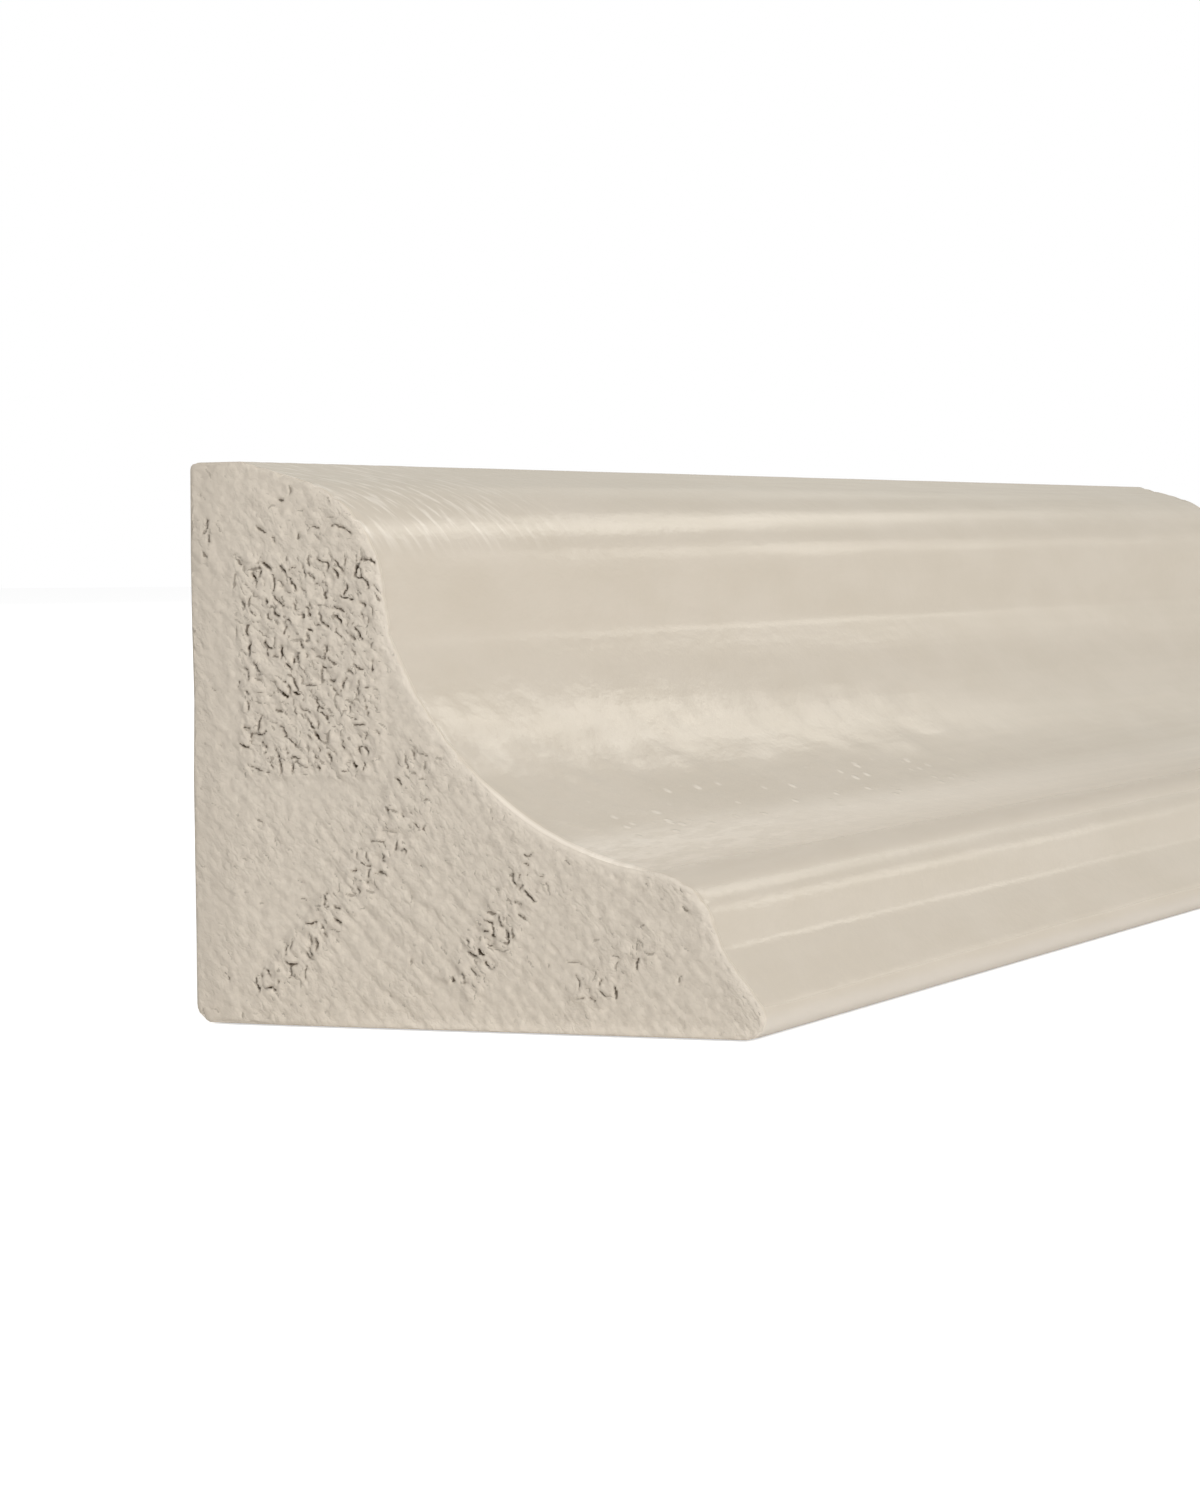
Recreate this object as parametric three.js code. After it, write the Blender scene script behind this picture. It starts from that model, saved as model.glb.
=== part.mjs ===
// Inside corner moulding: one extruded length of foamed plastic trim that covers the joint of two
// surfaces at a right angle. It lies on its base, with its back to the other surface.
// Millimetres, +Z up. The section lies in XZ and the length runs along Y. The origin is under the
// middle of the piece, at the centre of its bounding box and on the plane of the base.
import * as THREE from 'three';

// overall size
const width = 19; // across the base, from the back to the tip of the lower lip
const height = 17.5; // up the back, from the base to the top land
const length = 102; // between the two sawn ends

// the two flat faces that meet the room's surfaces, with eased corners
const heelRadius = 0.6; // corner between base and back, clear of filler in the joint
const topBackRadius = 0.3;

// upper edge: a narrow flat land, then a lip that falls away to the upper bead
const landWidth = 1.8;
const landRadius = 0.6;
const upperBead = { x: 6.2, z: 16.25, radius: 3.8 };

// front: a steep leg, a soft crease and the broad hollow of the cove
const crease = { x: 6.85, z: 11.95, radius: 1.2 };
const cove = { x: 9.5, z: 6.4, radius: 11 };

// lower edge: a bead, a tight quirk below it, and a lip splayed out to a rounded tip
const lowerBead = { x: 17, z: 4.65, radius: 2.2 };
const quirkHeight = 2.72;
const quirkRadius = 0.35;
const lipSplay = THREE.MathUtils.degToRad(53); // the lower lip's slope from the base
const tipRadius = 0.65;

const halfArcSteps = 6; // each rounded corner is drawn with twice this many flat steps

const foamedPlastic = new THREE.MeshStandardMaterial({
  color: '#d5c9b9',
  roughness: 0.45,
  metalness: 0,
});

// The section's corners before rounding, counter-clockwise from the heel. The sharp corner of the
// lip lies beyond the width, by as much as its rounding takes away.
function sectionCorners() {
  const tipX = width - tipRadius + tipRadius / Math.tan(lipSplay / 2);
  const quirkX = tipX - quirkHeight / Math.tan(lipSplay);
  const corners = [
    { x: 0, z: 0, radius: heelRadius },
    { x: tipX, z: 0, radius: tipRadius },
    { x: quirkX, z: quirkHeight, radius: quirkRadius },
    lowerBead,
    cove,
    crease,
    upperBead,
    { x: landWidth, z: height, radius: landRadius },
    { x: 0, z: height, radius: topBackRadius },
  ];
  return corners.map(({ x, z, radius }) => ({ at: new THREE.Vector2(x, z), radius }));
}

// Adds the arc that rounds one corner. It touches both of the sides that meet there.
function addRoundedCorner(shape, before, corner, after) {
  const toBefore = before.at.clone().sub(corner.at).normalize();
  const toAfter = after.at.clone().sub(corner.at).normalize();
  const halfAngle = toBefore.angleTo(toAfter) / 2;
  const centre = toBefore.clone().add(toAfter).normalize();
  centre.multiplyScalar(corner.radius / Math.sin(halfAngle)).add(corner.at);

  const tangentLength = corner.radius / Math.tan(halfAngle);
  const start = corner.at.clone().addScaledVector(toBefore, tangentLength).sub(centre);
  const end = corner.at.clone().addScaledVector(toAfter, tangentLength).sub(centre);
  const turnsInward = toBefore.cross(toAfter) > 0;
  shape.absarc(centre.x, centre.y, corner.radius, start.angle(), end.angle(), turnsInward);
}

function mouldingSection() {
  const corners = sectionCorners();
  const shape = new THREE.Shape();
  corners.forEach((corner, i) => {
    const before = corners.at(i - 1);
    const after = corners[(i + 1) % corners.length];
    addRoundedCorner(shape, before, corner, after);
  });
  return shape;
}

function makeMoulding() {
  const geometry = new THREE.ExtrudeGeometry(mouldingSection(), {
    depth: length,
    bevelEnabled: false,
    curveSegments: halfArcSteps,
  });
  const moulding = new THREE.Mesh(geometry, foamedPlastic);
  moulding.name = 'moulding';
  moulding.rotation.x = Math.PI / 2; // stands the section up, with the length along -Y
  moulding.position.set(-width / 2, length / 2, 0);
  return moulding;
}

const part = new THREE.Group();
part.name = 'inside_corner_moulding';
part.add(makeMoulding());

export default part;
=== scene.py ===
import math

import bmesh
import bpy
from mathutils import Matrix, Vector


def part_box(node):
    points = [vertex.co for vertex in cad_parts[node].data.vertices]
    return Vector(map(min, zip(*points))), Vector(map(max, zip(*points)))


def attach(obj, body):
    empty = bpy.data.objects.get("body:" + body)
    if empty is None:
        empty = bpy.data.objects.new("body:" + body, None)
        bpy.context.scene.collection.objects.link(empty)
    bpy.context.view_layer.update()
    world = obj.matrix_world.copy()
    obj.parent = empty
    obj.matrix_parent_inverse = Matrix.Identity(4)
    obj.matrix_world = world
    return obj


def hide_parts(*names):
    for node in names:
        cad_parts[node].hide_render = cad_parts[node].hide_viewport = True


# Inside corner moulding of foamed plastic: satin skin on the long faces, open cells on the sawn ends.
# It is drawn in millimetres from the heel of the sawn end that faces the camera:
# x away from the back, y along the length, z up from the base.
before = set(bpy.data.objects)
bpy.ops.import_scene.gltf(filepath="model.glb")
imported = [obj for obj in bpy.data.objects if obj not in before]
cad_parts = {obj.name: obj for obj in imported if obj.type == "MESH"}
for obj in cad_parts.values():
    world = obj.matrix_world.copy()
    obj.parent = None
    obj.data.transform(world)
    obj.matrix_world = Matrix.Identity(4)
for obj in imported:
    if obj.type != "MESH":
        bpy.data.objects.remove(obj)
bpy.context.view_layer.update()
mm = 0.001
weldGap = 0.002  # mm, between the points of a seam
nearHeel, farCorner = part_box("moulding")
width, length, height = (farCorner - nearHeel) / mm
print("frame loaded, moulding is %.1f x %.1f x %.1f mm" % (width, length, height))


# Camera, at the photo's angle and lens

cameraView = {
    "photoHeight": 1500,  # pixels
    "focalPixels": 4600,
    "sensor": 36.0,  # mm along the photo's height
    "clip": (0.01, 60.0),  # metres
    "standsAt": (66.59, -127.74, 14.76),  # mm from the near heel
    "azimuth": 22.475,  # degrees from the length
    "lookDown": 2.537,
    "roll": 0.622,
}


def makeCamera(view):
    data = bpy.data.cameras.new("photoCamera")
    data.sensor_width = view["sensor"]
    data.lens = view["sensor"] * view["focalPixels"] / view["photoHeight"]
    data.clip_start, data.clip_end = view["clip"]
    camera = bpy.data.objects.new("photoCamera", data)
    place = Matrix.Translation(nearHeel + Vector(view["standsAt"]) * mm)
    turn = Matrix.Rotation(math.radians(view["azimuth"]), 4, "Z")
    tilt = Matrix.Rotation(math.radians(90 - view["lookDown"]), 4, "X")
    roll = Matrix.Rotation(math.radians(-view["roll"]), 4, "Z")
    camera.matrix_world = place @ turn @ tilt @ roll
    bpy.context.scene.collection.objects.link(camera)
    bpy.context.scene.camera = camera


makeCamera(cameraView)
print("camera set")


# Helpers that let node trees be written as formulas

class Field:
    def __init__(self, tree, socket):
        self.tree = tree
        self.socket = socket

    def math(self, operation, *others):
        return mathField(self.tree, operation, self, *others)

    def __add__(self, other):
        return self.math("ADD", other)

    def __sub__(self, other):
        return self.math("SUBTRACT", other)

    def __mul__(self, other):
        return self.math("MULTIPLY", other)

    def __truediv__(self, other):
        return self.math("DIVIDE", other)

    def __rsub__(self, other):
        return mathField(self.tree, "SUBTRACT", other, self)

    def __rtruediv__(self, other):
        return mathField(self.tree, "DIVIDE", other, self)

    __radd__ = __add__
    __rmul__ = __mul__

    def isOver(self, other):
        return self.math("GREATER_THAN", other)

    def atLeast(self, other):
        return self.math("MAXIMUM", other)

    def atMost(self, other):
        return self.math("MINIMUM", other)

    def rise(self, low, high):  # smooth, 0 at low and 1 at high
        node = addNode(self.tree, "ShaderNodeMapRange", interpolation_type="SMOOTHSTEP")
        feed(self.tree, node.inputs["Value"], self)
        feed(self.tree, node.inputs["From Min"], low)
        feed(self.tree, node.inputs["From Max"], high)
        return Field(self.tree, node.outputs["Result"])

    def past(self, place, fade):  # the same between two distances past a place
        return self.rise(place + fade[0], place + fade[1])

    def band(self, low, high, fadeIn, fadeOut):  # 1 between low and high, fading inside them
        return self.rise(low, low + fadeIn) * self.rise(high, high - fadeOut)

    def spread(self, low, high):  # low where the field is 0, high where it is 1
        return self * (high - low) + low


def mathField(tree, operation, *values):
    node = addNode(tree, "ShaderNodeMath", operation=operation)
    for socket, value in zip(node.inputs, values):
        feed(tree, socket, value)
    return Field(tree, node.outputs[0])


def feed(tree, socket, value):
    if isinstance(value, Field):
        value = value.socket
    if isinstance(value, bpy.types.NodeSocket):
        tree.links.new(value, socket)
    else:
        socket.default_value = value


def addNode(tree, kind, feeds=None, **settings):
    node = tree.nodes.new(kind)
    for name, value in settings.items():
        setattr(node, name, value)
    for key, value in (feeds or {}).items():
        # by identifier, because some nodes have several sockets of one name
        feed(tree, next(s for s in node.inputs if s.identifier == key), value)
    return node


def combine(tree, x, y, z):
    return addNode(tree, "ShaderNodeCombineXYZ", {"X": x, "Y": y, "Z": z}).outputs["Vector"]


def separate(tree, vector):
    node = addNode(tree, "ShaderNodeSeparateXYZ", {"Vector": vector})
    return [Field(tree, socket) for socket in node.outputs]


def vectorMath(tree, operation, a, b):
    node = addNode(tree, "ShaderNodeVectorMath", {"Vector": a}, operation=operation)
    feed(tree, node.inputs["Scale" if operation == "SCALE" else 1], b)
    return node.outputs["Vector"]


def addNoise(tree, vector, scale, detail=2.0, roughness=0.5):
    return addNode(tree, "ShaderNodeTexNoise", {
        "Vector": vector, "Scale": scale, "Detail": detail, "Roughness": roughness})


def noiseField(tree, vector, scale, detail=2.0, roughness=0.5):
    return Field(tree, addNoise(tree, vector, scale, detail, roughness).outputs[0])


def layerNoise(tree, across, along, layer, detail=2.0, roughness=0.5):  # unlike the noise of other layers
    return noiseField(tree, combine(tree, across, along, layer), 1.0, detail, roughness)


def storeField(tree, geometry, name, value, domain="POINT"):
    node = addNode(tree, "GeometryNodeStoreNamedAttribute", {
        "Geometry": geometry, "Name": name}, data_type="FLOAT", domain=domain)
    feed(tree, node.inputs["Value"], value)
    return node.outputs["Geometry"]


def namedField(tree, name):
    node = addNode(tree, "GeometryNodeInputNamedAttribute", {"Name": name}, data_type="FLOAT")
    return Field(tree, node.outputs["Attribute"])


def sampleField(tree, geometry, index, name):
    node = addNode(tree, "GeometryNodeSampleIndex", {
        "Geometry": geometry, "Index": index}, data_type="FLOAT", domain="POINT")
    feed(tree, node.inputs["Value"], namedField(tree, name))
    return Field(tree, node.outputs["Value"])


def randomField(tree, low, high, seed):
    node = addNode(tree, "FunctionNodeRandomValue", {
        "Min_001": low, "Max_001": high, "Seed": seed}, data_type="FLOAT")
    return Field(tree, node.outputs[1])


def moved(tree, geometry, position=None, offset=None):
    node = addNode(tree, "GeometryNodeSetPosition", {"Geometry": geometry})
    if position is not None:
        feed(tree, node.inputs["Position"], position)
    if offset is not None:
        feed(tree, node.inputs["Offset"], offset)
    return node.outputs["Geometry"]


def joined(tree, *geometries):
    node = addNode(tree, "GeometryNodeJoinGeometry")
    for geometry in geometries:
        tree.links.new(geometry, node.inputs["Geometry"])
    return node.outputs["Geometry"]


def welded(tree, geometry):
    node = addNode(tree, "GeometryNodeMergeByDistance", {"Geometry": geometry, "Distance": weldGap})
    return node.outputs["Geometry"]


def edgeLoop(tree, mesh, where=None):  # the open edges of a mesh as a curve
    faces = addNode(tree, "GeometryNodeInputMeshEdgeNeighbors").outputs["Face Count"]
    openEdge = Field(tree, faces).math("LESS_THAN", 2.0)
    if where is not None:
        openEdge = openEdge * where
    node = addNode(tree, "GeometryNodeMeshToCurve", {"Mesh": mesh, "Selection": openEdge})
    return node.outputs["Curve"]


def newTree(name, inputs):
    tree = bpy.data.node_groups.new(name, "GeometryNodeTree")
    for label, (kind, value) in inputs.items():
        socket = tree.interface.new_socket(label, in_out="INPUT", socket_type="NodeSocket" + kind)
        if value is not None:
            socket.default_value = value
    tree.interface.new_socket("Geometry", in_out="OUTPUT", socket_type="NodeSocketGeometry")
    given = addNode(tree, "NodeGroupInput").outputs
    result = addNode(tree, "NodeGroupOutput", is_active_output=True).inputs["Geometry"]
    return tree, given, result


# Section of the moulding, the same all along

mouldingSection = {
    "heelRadius": 0.6,
    "topBackRadius": 0.3,
    "landWidth": 1.8,
    "landRadius": 0.6,
    "upperBead": (6.2, 16.25, 3.8),  # corner x, corner z, radius
    "crease": (6.85, 11.95, 2.2),
    "cove": (9.5, 6.4, 11.0),
    "lowerBead": (17.0, 4.65, 2.2),
    "quirkHeight": 2.72,
    "quirkRadius": 1.3,
    "lipSplay": 53.0,  # degrees
    "tipRadius": 0.65,
    "frontStep": 0.18,  # spacing of the mesh round the section
    "flatStep": 2.4,
    "leastArcSteps": 5,
}


def sectionCorners(sizes):
    splay = math.radians(sizes["lipSplay"])
    tipX = width - sizes["tipRadius"] + sizes["tipRadius"] / math.tan(splay / 2)
    quirkX = tipX - sizes["quirkHeight"] / math.tan(splay)
    return {
        "heel": (0.0, 0.0, sizes["heelRadius"]),
        "tip": (tipX, 0.0, sizes["tipRadius"]),
        "quirk": (quirkX, sizes["quirkHeight"], sizes["quirkRadius"]),
        "lowerBead": sizes["lowerBead"],
        "cove": sizes["cove"],
        "crease": sizes["crease"],
        "upperBead": sizes["upperBead"],
        "landEnd": (sizes["landWidth"], height, sizes["landRadius"]),
        "topBack": (0.0, height, sizes["topBackRadius"]),
    }


# The arc that rounds one corner, tangent to both of its sides
def roundedCorner(before, corner, after, sizes):
    at = Vector(corner[:2])
    radius = corner[2]
    toBefore = (Vector(before[:2]) - at).normalized()
    toAfter = (Vector(after[:2]) - at).normalized()
    halfAngle = toBefore.angle(toAfter) / 2
    centre = at + (toBefore + toAfter).normalized() * (radius / math.sin(halfAngle))
    start = at + toBefore * (radius / math.tan(halfAngle)) - centre
    sweep = math.pi - 2 * halfAngle
    if toBefore.cross(toAfter) > 0:  # a hollow corner
        sweep = -sweep
    steps = max(sizes["leastArcSteps"], math.ceil(abs(sweep) * radius / sizes["frontStep"]))
    return [centre + Matrix.Rotation(sweep * i / steps, 2) @ start for i in range(steps + 1)]


def straightPoints(a, b, step):
    count = max(1, round((b - a).length / step))
    return [a.lerp(b, i / count) for i in range(1, count)]


# The outline counter-clockwise from the heel, and the runs in mm between which each corner is rounded
def sectionOutline(sizes):
    corners = sectionCorners(sizes)
    names = list(corners)
    points = []
    arcs = {}
    for i, name in enumerate(names):
        before = corners[names[i - 1]]
        after = corners[names[(i + 1) % len(names)]]
        arc = roundedCorner(before, corners[name], after, sizes)
        if points:
            step = sizes["flatStep" if name in ("tip", "topBack") else "frontStep"]
            points += straightPoints(points[-1], arc[0], step)
        arcs[name] = (len(points), len(points) + len(arc) - 1)
        points += arc
    points += straightPoints(points[-1], points[0], sizes["flatStep"])
    runs = [0.0]
    for a, b in zip(points, points[1:]):
        runs.append(runs[-1] + (b - a).length)
    return points, runs, {name: (runs[first], runs[last]) for name, (first, last) in arcs.items()}


def makeOutline(points, runs):
    mesh = bpy.data.meshes.new("cornerMoulding")
    loop = [(i, (i + 1) % len(points)) for i in range(len(points))]
    mesh.from_pydata([(p.x, p.y, 0.0) for p in points], loop, [])
    mesh.attributes.new("run", "FLOAT", "POINT").data.foreach_set("value", runs)
    outline = bpy.data.objects.new("cornerMoulding", mesh)
    bpy.context.scene.collection.objects.link(outline)
    return outline


# Sawn end: a flat cut with open cells, torn crumbs and the saw's slanting marks

sawnEnd = {
    "nearGrid": 0.055,  # mm
    "farGrid": 0.2,
    "rimGap": 1.1,  # grid steps left between the grid and the outline
    "edgeFade": 0.09,
    "cellSpacing": 0.2,
    "cellsPerArea": 13.0,  # per square mm, where they are thickest
    "cellRadius": 0.14,  # of the curved slit that a cut cell leaves
    "cellSweep": 110.0,  # degrees
    "cellSteps": 9,
    "cellSlant": -52.0,
    "cellTurn": 1.0,  # radians either way from that slant
    "cellStretch": (0.7, 2.4),  # times the plain slit's length
    "cellBow": 1.5,  # times its bow, either way
    "cellWidth": (0.026, 0.052),
    "cellTips": 0.3,  # width of its ends, as a share of the middle's
    "cellDepth": 0.2,
    "cellShare": (0.3, 1.0),  # of that depth, before it is squared
    "cellWall": (1.5, 0.3),  # slit widths from its line, at the top and the bottom of its wall
    "lipHeight": 0.03,  # torn edge of a cell
    "lipBand": (1.0, 3.2, 0.7, 1.3),  # slit widths from its line
    "farFromCell": 3.0,  # slit widths, past which nothing shows
    "wobbleScale": 6.0,
    "wobble": 0.19,  # mm, by which a slit's edge is ragged
    "strayCells": 0.045,  # share of the full density, outside the patches
    "strayDepth": 0.3,  # share of the depth there
    "strayCrumbs": 0.5,  # share of the crumbs' height there
    "crumbHeight": 0.14,
    "crumbSize": 0.3,
    "crumbStretch": 0.7,
    "crumbWobble": 0.3,
    "crumbSmoothness": 0.4,
    "grainHeight": 0.05,
    "grainScale": (5.0, 1.3),  # per mm, across and along the saw marks
    "sawHeight": 0.055,
    "sawSpacing": 0.72,
    "sawSlant": -45.0,
    "sawZone": (4.0, 4.5, 11.5, 0.5, 2.6, 1.0),  # as the patches below
    "sawZoneEdge": 1.2,
    "sawElsewhere": 0.15,  # share of the height, outside that zone
    "driftScale": (0.5, 0.25),
    "drift": 9.0,  # radians by which the saw marks wander
    "driftLeast": 0.2,  # share of the height, where they die away
    "rimWidth": (0.5, 0.1),  # of the paler edge next to the skin, where it starts and is full
    "rimWander": 0.7,
    "patchEdge": 0.25,
    # thick patches of cells, as boxes about a line: x z of its ends, half width, share of the density
    "nearPatches": [
        (4.1, 7.8, 4.1, 14.6, 2.4, 1.0),
        (4.0, 14.6, 4.0, 16.6, 1.9, 0.3),
        (8.1, 8.6, 6.6, 5.5, 0.75, 0.85),
        (6.6, 5.5, 2.4, 0.8, 0.65, 0.85),
        (11.6, 5.1, 9.0, 1.3, 0.65, 0.9),
        (15.4, 3.2, 13.0, 0.8, 0.5, 0.7),
        (0.6, 14.2, 0.5, 15.7, 0.35, 0.5),
        (0.3, 11.8, 0.3, 12.3, 0.25, 0.6),
    ],
    "farPatches": [
        (4.2, 8.2, 4.0, 14.0, 2.4, 1.0),
        (7.8, 8.0, 3.0, 1.2, 0.6, 0.6),
        (11.9, 5.0, 9.6, 1.6, 0.5, 0.6),
        (15.2, 3.2, 13.4, 1.0, 0.5, 0.5),
    ],
}


# Its share inside a box about a line, falling to 0 over a soft edge
def boxField(x, y, patch, soft):
    ax, ay, bx, by, half, share = patch
    line = Vector((bx - ax, by - ay))
    reach = line.length
    line.normalize()
    along = (x - ax) * line.x + (y - ay) * line.y
    across = ((x - ax) * line.y - (y - ay) * line.x).math("ABSOLUTE")
    outside = (along * -1.0).atLeast(along - reach).atLeast(across - half)
    return outside.rise(soft, -soft) * share


# Fine square grid over the cut, joined to the outline by a ring of triangles
def addCutGrid(tree, outline, face, position, rimDistance, step, look):
    grid = addNode(tree, "GeometryNodeMeshGrid", {
        "Size X": width, "Size Y": height,
        "Vertices X": width / step + 1.0, "Vertices Y": height / step + 1.0}).outputs["Mesh"]
    grid = moved(tree, grid, offset=(width / 2, height / 2, 0.0))
    above = vectorMath(tree, "ADD", position, (0.0, 0.0, 1.0))
    hit = addNode(tree, "GeometryNodeRaycast", {
        "Target Geometry": face, "Source Position": above,
        "Ray Direction": (0.0, 0.0, -1.0), "Ray Length": 2.0}).outputs["Is Hit"]
    inside = Field(tree, hit) * rimDistance.isOver(step * look["rimGap"])
    grid = addNode(tree, "GeometryNodeDeleteGeometry", {
        "Geometry": grid, "Selection": inside.math("LESS_THAN", 0.5)}, domain="FACE").outputs["Geometry"]
    ring = addNode(tree, "GeometryNodeFillCurve", {
        "Curve": joined(tree, outline, edgeLoop(tree, grid))}, mode="TRIANGLES").outputs["Mesh"]
    return welded(tree, joined(tree, grid, ring))


# Slits of the cut cells as short arcs, thick in the patches and rare elsewhere
def addSlits(tree, face, thick, seed, look):
    points = addNode(tree, "GeometryNodeDistributePointsOnFaces", {
        "Mesh": face, "Distance Min": look["cellSpacing"], "Density Max": look["cellsPerArea"],
        "Seed": seed}, distribute_method="POISSON").outputs["Points"]
    tooMany = randomField(tree, 0.0, 1.0, seed + 1.0).isOver(thick.atLeast(look["strayCells"]))
    points = addNode(tree, "GeometryNodeDeleteGeometry", {
        "Geometry": points, "Selection": tooMany}, domain="POINT").outputs["Geometry"]
    points = storeField(tree, points, "cellWidth", randomField(tree, *look["cellWidth"], seed + 2.0))
    share = randomField(tree, *look["cellShare"], seed + 6.0).math("POWER", 2.0)
    points = storeField(tree, points, "cellShare", share)
    halfSweep = math.radians(look["cellSweep"]) / 2
    slit = addNode(tree, "GeometryNodeCurveArc", {
        "Resolution": look["cellSteps"], "Radius": look["cellRadius"],
        "Start Angle": math.pi / 2 - halfSweep, "Sweep Angle": 2 * halfSweep}).outputs["Curve"]
    slit = moved(tree, slit, offset=(0.0, -look["cellRadius"], 0.0))
    along = Field(tree, addNode(tree, "GeometryNodeSplineParameter").outputs["Factor"])
    slit = storeField(tree, slit, "taper", (along * math.pi).math("SINE").spread(look["cellTips"], 1.0))
    slit = addNode(tree, "GeometryNodeCurveToMesh", {"Curve": slit}).outputs["Mesh"]
    turn = randomField(tree, -look["cellTurn"], look["cellTurn"], seed + 3.0)
    slant = combine(tree, 0.0, 0.0, turn + math.radians(look["cellSlant"]))
    stretch = randomField(tree, *look["cellStretch"], seed + 4.0)
    bow = randomField(tree, -look["cellBow"], look["cellBow"], seed + 5.0)
    slits = addNode(tree, "GeometryNodeInstanceOnPoints", {
        "Points": points, "Instance": slit, "Rotation": slant,
        "Scale": combine(tree, stretch, bow, 1.0)}).outputs["Instances"]
    return addNode(tree, "GeometryNodeRealizeInstances", {"Geometry": slits}).outputs["Geometry"]


def makeSawnEndTree(name, patches, look):
    tree, given, result = newTree(name, {
        "Outline": ("Geometry", None),
        "Grid step": ("Float", look["nearGrid"]),
        "Cell depth": ("Float", look["cellDepth"]),
        "Crumb height": ("Float", look["crumbHeight"]),
        "Saw height": ("Float", look["sawHeight"]),
        "Seed": ("Int", 1),
    })
    step = Field(tree, given["Grid step"])
    seed = Field(tree, given["Seed"])
    outline = given["Outline"]
    face = addNode(tree, "GeometryNodeFillCurve", {"Curve": outline}, mode="NGONS").outputs["Mesh"]
    edge = addNode(tree, "GeometryNodeCurveToMesh", {"Curve": outline}).outputs["Mesh"]
    position = addNode(tree, "GeometryNodeInputPosition").outputs["Position"]
    x, y, _ = separate(tree, position)
    rimDistance = Field(tree, addNode(tree, "GeometryNodeProximity", {
        "Target": edge, "Source Position": position}, target_element="EDGES").outputs["Distance"])
    cut = addCutGrid(tree, outline, face, position, rimDistance, step, look)
    thick = boxField(x, y, patches[0], look["patchEdge"])
    for other in patches[1:]:
        thick = thick.atLeast(boxField(x, y, other, look["patchEdge"]))
    slits = addSlits(tree, face, thick, seed, look)

    # each slit is cut with its own width and a ragged edge
    wobble = addNoise(tree, position, look["wobbleScale"]).outputs[1]
    wobble = vectorMath(tree, "SUBTRACT", wobble, (0.5, 0.5, 0.5))
    wobbleX, wobbleY, _ = separate(tree, wobble)
    ragged = vectorMath(tree, "ADD", position, vectorMath(tree, "SCALE", wobble, look["wobble"]))
    raggedX, raggedY, _ = separate(tree, ragged)
    ragged = combine(tree, raggedX, raggedY, 0.0)
    slitDistance = Field(tree, addNode(tree, "GeometryNodeProximity", {
        "Target": slits, "Source Position": ragged}, target_element="EDGES").outputs["Distance"])
    nearest = addNode(tree, "GeometryNodeSampleNearest", {
        "Geometry": slits, "Sample Position": ragged}, domain="POINT").outputs["Index"]
    slitWidth = sampleField(tree, slits, nearest, "cellWidth") * sampleField(tree, slits, nearest, "taper")
    fade = rimDistance.rise(0.0, look["edgeFade"])
    cellShare = sampleField(tree, slits, nearest, "cellShare") * fade
    cellShare = cellShare * thick.spread(look["strayDepth"], 1.0)
    cellReach = slitDistance / slitWidth
    cell = cellReach.rise(*look["cellWall"]) * cellShare
    lip = cellReach.band(*look["lipBand"]) * cellShare

    # crumbs, slanting grain and saw marks
    slope = math.radians(look["sawSlant"])
    acrossSaw = x * -math.sin(slope) + y * math.cos(slope)
    alongSaw = x * math.cos(slope) + y * math.sin(slope)
    crumbX = acrossSaw + wobbleX * look["crumbWobble"]
    crumbY = alongSaw * look["crumbStretch"] + wobbleY * look["crumbWobble"]
    crumbs = Field(tree, addNode(tree, "ShaderNodeTexVoronoi", {
        "Vector": combine(tree, crumbX, crumbY, 0.0), "Scale": 1.0 / look["crumbSize"],
        "Smoothness": look["crumbSmoothness"]}, feature="SMOOTH_F1").outputs["Distance"])
    across, along = look["grainScale"]
    grain = layerNoise(tree, acrossSaw * across, alongSaw * along, layer=0.0, detail=3.0, roughness=0.6)
    grain = grain - 0.5
    across, along = look["driftScale"]
    drift = layerNoise(tree, acrossSaw * across, alongSaw * along, layer=3.0)
    saw = (acrossSaw * (math.tau / look["sawSpacing"]) + drift * look["drift"]).math("SINE")
    saw = 0.0 - saw.atLeast(0.0).math("POWER", 2.0)
    sawShare = boxField(x, y, look["sawZone"], look["sawZoneEdge"]).spread(look["sawElsewhere"], 1.0)
    sawShare = sawShare * drift.spread(look["driftLeast"], 1.0)
    relief = crumbs * Field(tree, given["Crumb height"]) * thick.spread(look["strayCrumbs"], 1.0)
    relief = relief + grain * look["grainHeight"] + saw * Field(tree, given["Saw height"]) * sawShare
    relief = (relief + lip * look["lipHeight"] - cell * Field(tree, given["Cell depth"])) * fade
    rim = (rimDistance + wobbleX * look["rimWander"]).rise(*look["rimWidth"])
    cut = storeField(tree, cut, "cellReach", cellReach.atMost(look["farFromCell"]))
    cut = storeField(tree, cut, "cellShare", cellShare)
    cut = storeField(tree, cut, "openFoam", thick)
    cut = storeField(tree, cut, "rim", rim)
    cut = storeField(tree, cut, "sawn", 1.0, "FACE")
    feed(tree, result, moved(tree, cut, offset=combine(tree, 0.0, 0.0, relief)))
    return tree


# Moulding: the section run along the length, with eased arrises and a slightly uneven skin

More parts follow.
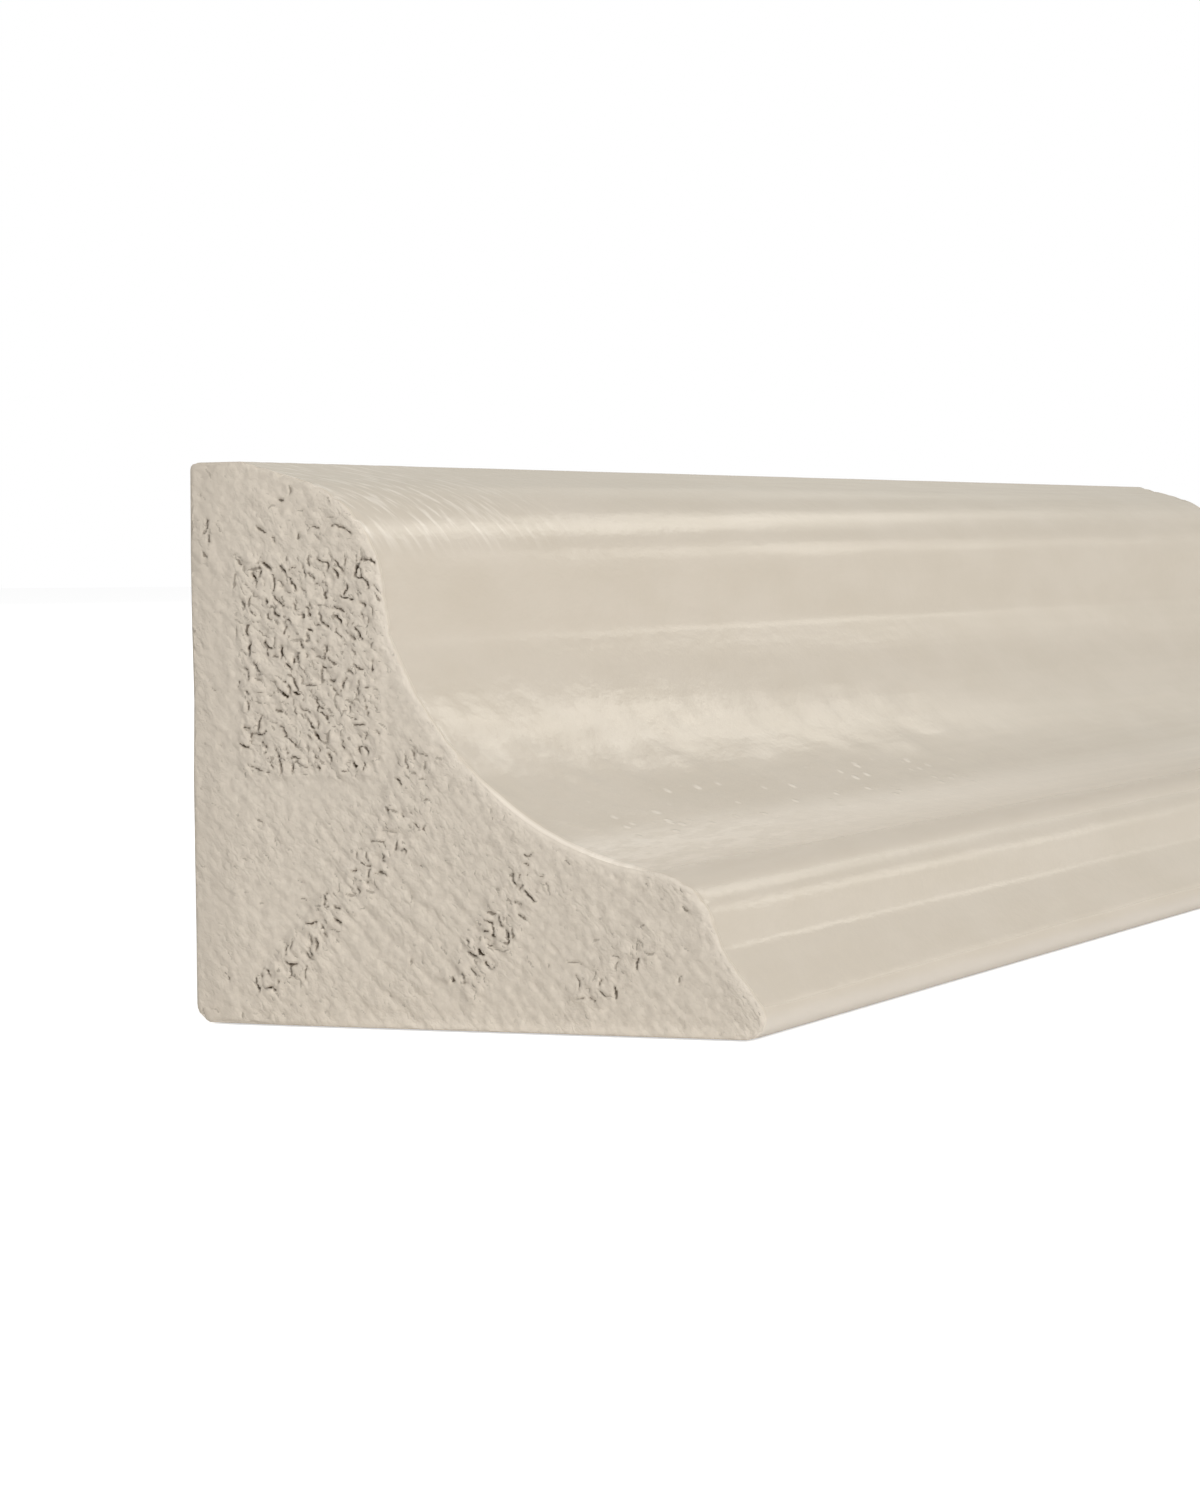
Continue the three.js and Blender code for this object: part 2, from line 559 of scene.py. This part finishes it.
mouldingLength = {
    "stations": 130,
    "nearStations": 0.3,  # spacing at the near end, as a share of the mean
    "arrisRadius": 0.16,
    "arrisSteps": 3,
    "leastArris": 0.08,  # shares of the radius: everywhere, more where the cut is clean, more in chips
    "cleanArris": 0.75,
    "chippedArris": 0.9,
    "cleanBand": (-1.0, 1.5, 1.5, 2.0),  # mm past the cove's start and its middle, and the fades inside
    "chipScale": 3.0,  # per mm
    "chipStretch": 0.05,
    "chipCut": (0.5, 0.68),  # of the noise that places the chips
    "chipBurr": 0.6,  # how pale a chip's edge is
    "frayDepth": 0.4,  # of the torn edge of the skin at the cuts
    "frayReach": 0.9,
    "frayScale": 2.4,  # per mm
    "frayStretch": 0.6,
    "rippleHeight": 0.14,  # wisps across the cove, left by the die
    "rippleRun": 1.9,  # mm along the moulding from one to the next
    "rippleLength": 1.8,  # mm round the section
    "rippleSlope": 0.5,
    "rippleZone": (1.2, 0.3),  # times half the cove, from its middle
    "rippleFade": (62.0, 31.0),  # mm from the near end, where they have died out and where they start to
    "chatterHeight": 0.03,  # marks across the lips and beads, close to the near end
    "chatterRun": 0.65,
    "chatterStretch": 0.25,
    "chatterFade": (30.0, 2.0),
    "waveHeight": 0.024,
    "waveScale": (0.12, 0.9),  # per mm, along the moulding and round the section
    # where these start and are full, in mm round the section past the base, the cove or the upper bead
    "chipsPastBase": (-1.0, 0.0),
    "frayPastBase": (-1.0, 0.5),
    "chatterPastBase": (0.0, 1.0),
    "wavePastBase": (0.0, 2.0),
    "belowCove": (0.0, -1.0),
    "chatterPastUpper": (-1.5, 0.0),
    "seed": 7,
    "farSeedStep": 40.0,
}


def makeMouldingTree(sizes, cove, upper, nearTree, farTree):
    tree, given, result = newTree("mouldingLength", {
        "Geometry": ("Geometry", None),
        "Length": ("Float", length),
        "Stations": ("Int", sizes["stations"]),
        "Arris radius": ("Float", sizes["arrisRadius"]),
        "Arris steps": ("Int", sizes["arrisSteps"]),
        "Ripple height": ("Float", sizes["rippleHeight"]),
        "Chatter height": ("Float", sizes["chatterHeight"]),
        "Fray": ("Float", sizes["frayDepth"]),
        "Wave height": ("Float", sizes["waveHeight"]),
        "Near grid": ("Float", sawnEnd["nearGrid"]),
        "Far grid": ("Float", sawnEnd["farGrid"]),
        "Seed": ("Int", sizes["seed"]),
        "Skin": ("Material", None),
        "Sawn": ("Material", None),
    })
    reach = Field(tree, given["Length"])
    radius = Field(tree, given["Arris radius"])
    ease = Field(tree, given["Arris steps"])
    seed = Field(tree, given["Seed"])

    # stations close together on the two arrises and near the end that the photo shows
    last = Field(tree, given["Stations"]) - 1.0
    station = Field(tree, addNode(tree, "GeometryNodeInputIndex").outputs["Index"])
    nearTurn = station.atMost(ease) / ease * (math.pi / 2)
    farTurn = (station - last + ease).atLeast(0.0) / ease * (math.pi / 2)
    middle = (station - ease).atLeast(0.0).atMost(last - ease * 2.0) / (last - ease * 2.0)
    middle = middle * sizes["nearStations"] + middle * middle * (1.0 - sizes["nearStations"])
    stationY = radius * (1.0 - nearTurn.math("COSINE")) + middle * (reach - radius * 2.0)
    stationY = stationY + radius * farTurn.math("SINE")
    line = addNode(tree, "GeometryNodeMeshLine", {
        "Count": given["Stations"], "Offset": (0.0, 0.0, 0.0)}).outputs["Mesh"]
    line = moved(tree, line, position=combine(tree, 0.0, stationY, 0.0))
    path = addNode(tree, "GeometryNodeMeshToCurve", {"Mesh": line}).outputs["Curve"]
    position = addNode(tree, "GeometryNodeInputPosition").outputs["Position"]
    x, y, z = separate(tree, position)
    section = addNode(tree, "GeometryNodeMeshToCurve", {"Mesh": given["Geometry"]}).outputs["Curve"]
    section = moved(tree, section, position=combine(tree, x, y * -1.0, 0.0))
    skin = addNode(tree, "GeometryNodeCurveToMesh", {
        "Curve": path, "Profile Curve": section}).outputs["Mesh"]

    # arris at both ends, clean along the lower cove and chipped elsewhere on the front
    run = namedField(tree, "run")
    baseEnd = width  # runs start at the heel, so the front starts here
    coveStart, coveEnd = cove
    coveMiddle = (coveStart + coveEnd) / 2
    coveHalf = (coveEnd - coveStart) / 2
    belowCove = run.past(coveStart, sizes["belowCove"])
    fromEnd = y.atMost(reach - y)
    overArris = (radius - fromEnd).atLeast(0.0)
    inset = radius - (radius * radius - overArris * overArris).atLeast(0.0).math("SQRT")
    low, high, fadeIn, fadeOut = sizes["cleanBand"]
    clean = run.band(coveStart + low, coveMiddle + high, fadeIn, fadeOut)
    chips = combine(tree, run, y * sizes["chipStretch"], 0.0)
    chips = noiseField(tree, chips, sizes["chipScale"], detail=3.0, roughness=0.7)
    chips = chips.rise(*sizes["chipCut"])
    chipped = (1.0 - clean) * chips * sizes["chippedArris"]
    inset = inset * (clean * sizes["cleanArris"] + chipped + sizes["leastArris"])
    # painted highlight: the clean arris along the lower cove is painted pale as its glint, and chipped
    # edges elsewhere on the front are paler burrs
    paleChips = chips * run.past(baseEnd, sizes["chipsPastBase"]) * belowCove * sizes["chipBurr"]
    arrisGlintAndBurr = clean.atLeast(paleChips) * overArris / radius
    fray = combine(tree, run, y * sizes["frayStretch"], 4.0)
    fray = noiseField(tree, fray, sizes["frayScale"], detail=3.0, roughness=0.7) - 0.5
    nearCut = fromEnd.rise(sizes["frayReach"], 0.0) * (1.0 - clean)
    fray = fray * Field(tree, given["Fray"]) * nearCut * run.past(baseEnd, sizes["frayPastBase"])

    # slanting ripples in the cove, chatter on the lips and beads, long low waves on the front
    outer, inner = sizes["rippleZone"]
    inCove = (run - coveMiddle).math("ABSOLUTE").rise(coveHalf * outer, coveHalf * inner)
    acrossRipple = (y + run * sizes["rippleSlope"]) / sizes["rippleRun"]
    ripple = layerNoise(tree, acrossRipple, run / sizes["rippleLength"], layer=5.0, detail=1.5) - 0.5
    ripple = ripple * Field(tree, given["Ripple height"]) * inCove * y.rise(*sizes["rippleFade"])
    acrossChatter = (y + run) / sizes["chatterRun"]
    alongChatter = (y - run) * sizes["chatterStretch"]
    chatter = layerNoise(tree, acrossChatter, alongChatter, layer=2.0, detail=1.0) - 0.5
    onBeads = run.past(baseEnd, sizes["chatterPastBase"]) * belowCove
    onBeads = run.past(upper, sizes["chatterPastUpper"]).atLeast(onBeads)
    chatter = chatter * Field(tree, given["Chatter height"]) * onBeads * y.rise(*sizes["chatterFade"])
    along, across = sizes["waveScale"]
    wave = layerNoise(tree, y * along, run * across, layer=9.0) - 0.5
    wave = wave * Field(tree, given["Wave height"]) * run.past(baseEnd, sizes["wavePastBase"])
    lift = inset - ripple - chatter - wave - fray.atMost(0.0)  # normals point in here
    normal = addNode(tree, "GeometryNodeInputNormal").outputs["Normal"]
    skin = moved(tree, skin, offset=vectorMath(tree, "SCALE", normal, lift))
    skin = storeField(tree, skin, "arris", overArris / radius)
    skin = storeField(tree, skin, "arrisGlintAndBurr", arrisGlintAndBurr)

    # sawn ends, worked flat and then stood up
    nearEdge = y.math("LESS_THAN", length / 2)
    ends = []
    for endTree, where, grid, seedStep in (
            (nearTree, nearEdge, "Near grid", 0.0),
            (farTree, 1.0 - nearEdge, "Far grid", sizes["farSeedStep"])):
        loop = moved(tree, edgeLoop(tree, skin, where), position=combine(tree, x, z, 0.0))
        end = addNode(tree, "GeometryNodeGroup", node_tree=endTree)
        feed(tree, end.inputs["Outline"], loop)
        feed(tree, end.inputs["Grid step"], given[grid])
        feed(tree, end.inputs["Seed"], seed + seedStep)
        stoodUp = combine(tree, x, z * -1.0, y) if endTree is nearTree else combine(tree, x, reach + z, y)
        ends.append(moved(tree, end.outputs["Geometry"], position=stoodUp))

    whole = welded(tree, joined(tree, skin, *ends))
    whole = addNode(tree, "GeometryNodeTransform", {
        "Geometry": whole, "Translation": nearHeel, "Scale": (mm, mm, mm)}).outputs["Geometry"]
    whole = addNode(tree, "GeometryNodeSetShadeSmooth", {"Geometry": whole}).outputs["Geometry"]
    whole = addNode(tree, "GeometryNodeRealizeInstances", {"Geometry": whole}).outputs["Geometry"]
    whole = addNode(tree, "GeometryNodeSetMaterial", {
        "Geometry": whole, "Material": given["Skin"]}).outputs["Geometry"]
    whole = addNode(tree, "GeometryNodeSetMaterial", {
        "Geometry": whole, "Material": given["Sawn"],
        "Selection": namedField(tree, "sawn").isOver(0.5)}).outputs["Geometry"]
    feed(tree, result, whole)
    return tree


# Finishes

bumpDepth = 0.1 * mm

skinFinish = {
    "tint": (0.66, 0.585, 0.488, 1.0),
    "deepTint": (0.63, 0.555, 0.455, 1.0),
    "paleTint": (0.82, 0.745, 0.645, 1.0),
    "cloudScale": 0.5,  # per mm
    "cloudStretch": 0.3,
    "cloudCut": (0.3, 0.7),
    "roughness": 0.2,
    "bump": 0.2,
    "dieScale": 2.2,  # lines that the die left along the moulding
    "dieStretch": 0.04,
    "dieRoughness": 0.1,
    "dieDepth": 0.3,  # as a share of a pimple
    "peel": 0.8,  # depth of the fine unevenness, as a share of a pimple
    "peelScale": (2.6, 1.2),  # per mm, across and along
    "peelFade": (70.0, 5.0),  # mm from the near end
    "peelLeast": 0.3,
    "tipLightFade": (1.0, 0.3),  # mm above the base, where the lip's tip is painted paler, painted light on its shaded underside
    "tipLightShare": 0.8,
    "rubbed": 0.15,  # duller by this on top of the lower bead and round the tip of the lip
    "rubbedBand": (4.3, 5.1, 0.3, 0.2),  # mm above the base, and the fades inside it
    "rubbedFrom": 15.0,  # mm from the back
    "rubbedTip": (1.3, 0.7),  # mm above the base
    "rubbedArris": 0.4,
    # pimples low in the cove: real bumps, also painted pale as painted glints
    "pimpleBand": (10.8, 13.4, 0.4, 0.4),  # mm from the back, low in the cove
    "pimpleSpacing": (0.6, 1.2),  # mm across and along
    "pimpleSize": (0.3, 0.1),  # share of the spacing, at its edge and its top
    "pimplesWithGlintsFade": (45.0, 30.0),  # mm from the near end
    "footReflectionBand": (12.0, 16.8, 1.6, 3.0),  # mm from the back, painted reflection: a faint pale band at the foot of the cove, where it mirrors the leg
    "footAbove": 4.4,  # mm above the base
    "footReflectionFade": (70.0, 30.0),  # mm from the near end
    "footReflectionShare": (0.5, 0.88),
    "coveGlintScale": (2.5, 0.4),  # of the painted highlight streaks in that band, per mm across and along
    "coveGlintSlope": 0.3,
    "coveGlintCut": (0.4, 0.62),
    "coveGlintFade": (30.0, 4.0),  # mm from the near end
    "coveGlintShare": 0.6,
    "upperLipGlintScale": (2.0, 0.7),  # per mm, across and along the painted highlight streaks on the upper lip
    "upperLipGlintCut": (0.46, 0.72),
    "upperLipGlintsAbove": (14.4, 15.4),  # mm above the base
    "upperLipGlintsBehind": (1.2, 2.2),  # mm from the back
    "upperLipGlintsFade": (19.0, 6.0),  # mm from the near end
    "upperLipGlintShare": 0.95,
}

foamFinish = {
    "tint": (0.66, 0.592, 0.50, 1.0),
    "deepTint": (0.58, 0.517, 0.435, 1.0),
    "rimTint": (0.76, 0.685, 0.585, 1.0),
    # painted shade inside the slits and nicks
    "cellShadeTint": (0.11, 0.085, 0.06, 1.0),
    "roughness": 0.85,
    "specular": 0.25,
    "bump": 0.6,
    "grainScale": 3.5,  # per mm
    "grainCut": (0.25, 0.75),
    "grainDepth": 0.6,
    "backFade": (1.8, 0.4),  # mm from the back, over which the cut face is made darker towards the back
    "backShade": 0.75,
    "rimFrom": (3.0, 7.0),  # mm from the back, where the rim starts to show
    "rimShare": 0.5,
    "slant": -52.0,  # degrees, of the nicks
    "nickWidth": 0.13,  # mm
    "nickLength": 0.36,
    "nickWander": 0.35,
    "nickCut": (0.36, 0.28),
    "nickInOpen": 0.035,  # easier by this in the open patches
    "nickDark": (0.35, 0.47),  # painted shade, in dense foam and in open foam
    "nickDepth": 0.8,
    "patchScale": 0.45,  # per mm
    "patchInOpen": 0.3,
    "patchCut": (0.4, 0.62),
    "patchLeast": 0.5,  # share of the nicks between the patches
    "patchBump": 0.4,
    "cellRagged": 0.8,
    "cellEdge": (1.1, 0.5),  # slit widths from its line
    "cellDark": (0.3, 1.1),  # painted shade, for a shallow and a deep one
}


def newFinish(name):
    finish = bpy.data.materials.new(name)
    finish.use_nodes = True
    tree = finish.node_tree
    shader = tree.nodes["Principled BSDF"]
    place = addNode(tree, "ShaderNodeTexCoord").outputs["Object"]
    place = addNode(tree, "ShaderNodeMapping", {
        "Vector": place, "Location": nearHeel / -mm, "Scale": (1 / mm, 1 / mm, 1 / mm)})
    return finish, tree, shader, place.outputs["Vector"]  # mm from the near heel


def mixTints(tree, share, first, second):
    node = addNode(tree, "ShaderNodeMix", {
        "Factor_Float": share, "A_Color": first, "B_Color": second}, data_type="RGBA")
    return next(s for s in node.outputs if s.identifier == "Result_Color")


def attributeField(tree, name):
    return Field(tree, addNode(tree, "ShaderNodeAttribute", attribute_name=name).outputs["Fac"])


def makeSatinSkin(look):
    finish, tree, shader, place = newFinish("satinSkin")
    x, y, z = separate(tree, place)
    cloud = combine(tree, x, y * look["cloudStretch"], z)
    cloud = noiseField(tree, cloud, look["cloudScale"], detail=3.0).rise(*look["cloudCut"])
    body = mixTints(tree, cloud, look["tint"], look["deepTint"])

    # painted highlights close to the near end: pale streaks across the upper lip, pale glints on the
    # pimples, and pale streaks and a pale band low in the cove
    across, along = look["upperLipGlintScale"]
    upperLipGlints = layerNoise(tree, (x - y) * across, (x + y) * along, layer=0.0).rise(*look["upperLipGlintCut"])
    upperLipGlints = upperLipGlints * z.rise(*look["upperLipGlintsAbove"]) * y.rise(*look["upperLipGlintsFade"])
    upperLipGlints = upperLipGlints * x.rise(*look["upperLipGlintsBehind"]) * look["upperLipGlintShare"]
    across, along = look["pimpleSpacing"]
    pimplesWithGlints = Field(tree, addNode(tree, "ShaderNodeTexVoronoi", {
        "Vector": combine(tree, x / across, y / along, 0.0), "Scale": 1.0}).outputs["Distance"])
    inCove = z.isOver(look["footAbove"])
    pimplesWithGlints = pimplesWithGlints.rise(*look["pimpleSize"]) * x.band(*look["pimpleBand"])
    pimplesWithGlints = pimplesWithGlints * inCove * y.rise(*look["pimplesWithGlintsFade"])
    across, along = look["coveGlintScale"]
    coveGlint = combine(tree, x * across, y * along + x * look["coveGlintSlope"], z * across)
    coveGlint = noiseField(tree, coveGlint, 1.0, detail=3.0, roughness=0.65).rise(*look["coveGlintCut"]) - 0.5
    coveGlint = coveGlint * y.rise(*look["coveGlintFade"]) * look["coveGlintShare"]
    # painted reflection of the leg along the foot of the cove, with painted highlight streaks near the
    # near end
    foot = coveGlint + y.rise(*look["footReflectionFade"]).spread(*look["footReflectionShare"])
    foot = foot * x.band(*look["footReflectionBand"]) * inCove
    # painted light: the lip's shaded tip is painted paler
    tip = z.rise(*look["tipLightFade"]) * look["tipLightShare"]
    pale = upperLipGlints.atLeast(pimplesWithGlints).atLeast(attributeField(tree, "arrisGlintAndBurr")).atLeast(foot).atLeast(tip)
    feed(tree, shader.inputs["Base Color"], mixTints(tree, pale, body, look["paleTint"]))

    # satin gloss with faint die lines, duller where it is rubbed
    dieLines = combine(tree, x, y * look["dieStretch"], z)
    dieLines = noiseField(tree, dieLines, look["dieScale"], detail=1.0)
    rubbed = z.band(*look["rubbedBand"]) * x.isOver(look["rubbedFrom"])
    rubbed = rubbed.atLeast(z.rise(*look["rubbedTip"])) * look["rubbed"]
    rubbed = rubbed + attributeField(tree, "arris") * look["rubbedArris"]
    smoothest = look["roughness"] - look["dieRoughness"] / 2
    feed(tree, shader.inputs["Roughness"], dieLines * look["dieRoughness"] + smoothest + rubbed)
    across, along = look["peelScale"]
    peel = combine(tree, x * across, y * along, z * across)
    peel = noiseField(tree, peel, 1.0, roughness=0.6)
    peel = peel * y.rise(*look["peelFade"]).spread(look["peelLeast"], 1.0) * look["peel"]
    bump = addNode(tree, "ShaderNodeBump", {
        "Height": dieLines * look["dieDepth"] + peel + pimplesWithGlints,
        "Strength": look["bump"], "Distance": bumpDepth})
    feed(tree, shader.inputs["Normal"], bump.outputs["Normal"])
    return finish


def makeSawnFoam(look):
    finish, tree, shader, place = newFinish("sawnFoam")
    x, _, z = separate(tree, place)
    grain = noiseField(tree, place, look["grainScale"], detail=4.0, roughness=0.65)
    shade = grain.rise(*look["grainCut"]) + x.rise(*look["backFade"]) * look["backShade"]
    body = mixTints(tree, shade, look["tint"], look["deepTint"])
    rim = attributeField(tree, "rim") * x.rise(*look["rimFrom"]) * look["rimShare"]
    body = mixTints(tree, rim, body, look["rimTint"])

    # small nicks between the slits, stretched along the saw's slant, bumped and painted dark as painted
    # shade
    slant = math.radians(look["slant"])
    across = x * -math.sin(slant) + z * math.cos(slant) + grain * look["nickWander"]
    along = x * math.cos(slant) + z * math.sin(slant)
    nicks = layerNoise(
        tree, across / look["nickWidth"], along / look["nickLength"], layer=0.0, roughness=0.6)
    openFoam = attributeField(tree, "openFoam")
    patchy = noiseField(tree, place, look["patchScale"]) + openFoam * look["patchInOpen"]
    patchy = patchy.rise(*look["patchCut"])
    nick = (nicks - openFoam * look["nickInOpen"]).rise(*look["nickCut"])
    nick = nick * patchy.spread(look["patchLeast"], 1.0) * openFoam.spread(*look["nickDark"])

    # painted shade: the slits are painted dark inside, on top of their real depth
    cell = attributeField(tree, "cellReach") + (grain - 0.5) * look["cellRagged"]
    cell = cell.rise(*look["cellEdge"]) * attributeField(tree, "cellShare").spread(*look["cellDark"])
    feed(tree, shader.inputs["Base Color"], mixTints(tree, cell.atLeast(nick), body, look["cellShadeTint"]))
    shader.inputs["Roughness"].default_value = look["roughness"]
    shader.inputs["Specular IOR Level"].default_value = look["specular"]
    relief = grain * look["grainDepth"] + nicks * look["nickDepth"]
    relief = relief * patchy.spread(look["patchBump"], 1.0)
    bump = addNode(tree, "ShaderNodeBump", {
        "Height": relief, "Strength": look["bump"], "Distance": bumpDepth})
    feed(tree, shader.inputs["Normal"], bump.outputs["Normal"])
    return finish


def setInput(modifier, label, value):
    tree = modifier.node_group
    socket = next(s for s in tree.interface.items_tree if s.name == label and s.in_out == "INPUT")
    modifier[socket.identifier] = value


def makeMoulding():
    points, runs, arcs = sectionOutline(mouldingSection)
    piece = makeOutline(points, runs)
    nearTree = makeSawnEndTree("nearSawnEnd", sawnEnd["nearPatches"], sawnEnd)
    farTree = makeSawnEndTree("farSawnEnd", sawnEnd["farPatches"], sawnEnd)
    modifier = piece.modifiers.new("mouldingLength", "NODES")
    modifier.node_group = makeMouldingTree(
        mouldingLength, arcs["cove"], arcs["upperBead"][0], nearTree, farTree)
    setInput(modifier, "Length", length)
    setInput(modifier, "Stations", mouldingLength["stations"])
    setInput(modifier, "Skin", makeSatinSkin(skinFinish))
    setInput(modifier, "Sawn", makeSawnFoam(foamFinish))
    shape = piece.evaluated_get(bpy.context.evaluated_depsgraph_get())
    mesh = bpy.data.meshes.new_from_object(shape)
    piece.modifiers.remove(modifier)
    piece.data = mesh
    return piece


# Outward faces; also says how closed the mesh is
def pointFacesOut(piece):
    shape = bmesh.new()
    shape.from_mesh(piece.data)
    bmesh.ops.recalc_face_normals(shape, faces=shape.faces)
    openEdges = sum(not edge.is_manifold for edge in shape.edges)
    volume = shape.calc_volume(signed=True)
    triangles = sum(len(face.verts) - 2 for face in shape.faces)
    shape.to_mesh(piece.data)
    shape.free()
    print("moulding mesh: %d triangles, %d open edges, %.2f cm3" % (triangles, openEdges, volume * 1e6))


moulding = makeMoulding()
pointFacesOut(moulding)
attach(moulding, "root")
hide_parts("moulding")
print("moulding made")


# Plain pale floor and soft studio light

studio = {
    "floorSize": 3.0,  # metres
    "floorGap": 0.05,  # mm under the base
    "floorTint": (0.92, 0.92, 0.92, 1.0),
    "floorRoughness": 0.9,
    "floorGlow": 0.65,
    "backdrop": 1.0,
    "fill": 0.33,
    "mirrored": (0.2, 0.67),  # what the satin skin mirrors of the room, low behind it and elsewhere
    "mirrorsAbove": (0.02, 0.14),  # rise of the direction, from the one to the other
    "mirrorsAside": (-0.2, 0.1),  # and its turn towards the front
    # azimuth from the length towards the front, elevation, distance and width in metres, brightness
    "panels": {
        "key": (125.0, 25.0, 1.0, 0.28, 24.8),
        "endFill": (195.0, 20.0, 1.0, 0.5, 2.1),
        "backFill": (300.0, 12.0, 1.0, 0.4, 6.0),
    },
    # small panels behind the far end, which the satin skin mirrors as lines along the beads
    "sheens": {
        "sheen": (9.9, 23.1, 0.8, 0.07, 1.8),
        "midSheen": (2.6, 21.4, 0.8, 0.07, 1.2),
        "lowSheen": (16.0, 13.7, 0.8, 0.06, 1.6),
        "sideSheen": (19.3, 6.2, 0.8, 0.16, 0.2),
        "backSheen": (-14.5, 16.6, 0.8, 0.1, 0.2),
    },
    "sheenTint": (1.0, 0.95, 0.84),
    "white": (1.0, 1.0, 1.0, 1.0),
}


def makeFloor(look):
    half = look["floorSize"] / 2
    mesh = bpy.data.meshes.new("floor")
    corners = [(-half, -half, 0.0), (half, -half, 0.0), (half, half, 0.0), (-half, half, 0.0)]
    mesh.from_pydata(corners, [], [(0, 1, 2, 3)])
    mesh.transform(Matrix.Translation((0.0, 0.0, nearHeel.z - look["floorGap"] * mm)))
    finish = bpy.data.materials.new("paleFloor")
    finish.use_nodes = True
    tree = finish.node_tree
    shader = tree.nodes["Principled BSDF"]
    shader.inputs["Base Color"].default_value = look["floorTint"]
    shader.inputs["Roughness"].default_value = look["floorRoughness"]
    shader.inputs["Specular IOR Level"].default_value = 0.0
    shader.inputs["Emission Color"].default_value = look["white"]
    seen = Field(tree, addNode(tree, "ShaderNodeLightPath").outputs["Is Camera Ray"])
    feed(tree, shader.inputs["Emission Strength"], seen * look["floorGlow"])
    mesh.materials.append(finish)
    floor = bpy.data.objects.new("floor", mesh)
    bpy.context.scene.collection.objects.link(floor)


def mixShaders(tree, share, first, second):
    node = addNode(tree, "ShaderNodeMixShader", {"Fac": share})
    feed(tree, node.inputs[1], first.outputs[0])
    feed(tree, node.inputs[2], second.outputs[0])
    return node


def makeSky(look):
    world = bpy.data.worlds.new("studio")
    world.use_nodes = True
    tree = world.node_tree
    seen = tree.nodes["Background"]
    seen.inputs["Color"].default_value = look["white"]
    seen.inputs["Strength"].default_value = look["backdrop"]
    ray = addNode(tree, "ShaderNodeLightPath").outputs
    fill = addNode(tree, "ShaderNodeBackground", {"Color": look["white"], "Strength": look["fill"]})
    towards = addNode(tree, "ShaderNodeTexCoord").outputs["Generated"]
    side, _, up = separate(tree, towards)
    lit = up.rise(*look["mirrorsAbove"]).atLeast(side.rise(*look["mirrorsAside"]))
    mirrored = addNode(tree, "ShaderNodeBackground", {
        "Color": (*look["sheenTint"], 1.0), "Strength": lit.spread(*look["mirrored"])})
    room = mixShaders(tree, ray["Is Glossy Ray"], fill, mirrored)
    sky = mixShaders(tree, ray["Is Camera Ray"], room, seen)
    feed(tree, tree.nodes["World Output"].inputs["Surface"], sky.outputs["Shader"])
    world.cycles.sampling_method = "NONE"  # it is even, so the light samples go to the panels
    bpy.context.scene.world = world


def makePanel(name, azimuth, elevation, distance, size, brightness):
    light = bpy.data.lights.new(name, "AREA")
    light.shape = "SQUARE"
    light.size = size
    light.energy = brightness * math.pi * size * size
    a = math.radians(azimuth)
    e = math.radians(elevation)
    towards = Vector((math.sin(a) * math.cos(e), math.cos(a) * math.cos(e), math.sin(e)))
    panel = bpy.data.objects.new(name, light)
    panel.location = towards * distance + Vector((0.0, 0.0, height * mm / 2))
    panel.rotation_euler = towards.to_track_quat("Z", "Y").to_euler()
    panel.visible_camera = False
    bpy.context.scene.collection.objects.link(panel)
    return panel


makeFloor(studio)
makeSky(studio)
for name, panel in studio["panels"].items():
    makePanel(name, *panel).visible_glossy = False  # the skin mirrors only the room and the sheens
for name, panel in studio["sheens"].items():
    light = makePanel(name, *panel).data
    light.color = studio["sheenTint"]
    light.cycles.max_bounces = 0  # seen in the skin directly, never as sparkle by way of another face
bpy.context.scene.view_settings.view_transform = "Standard"
print("studio lit")
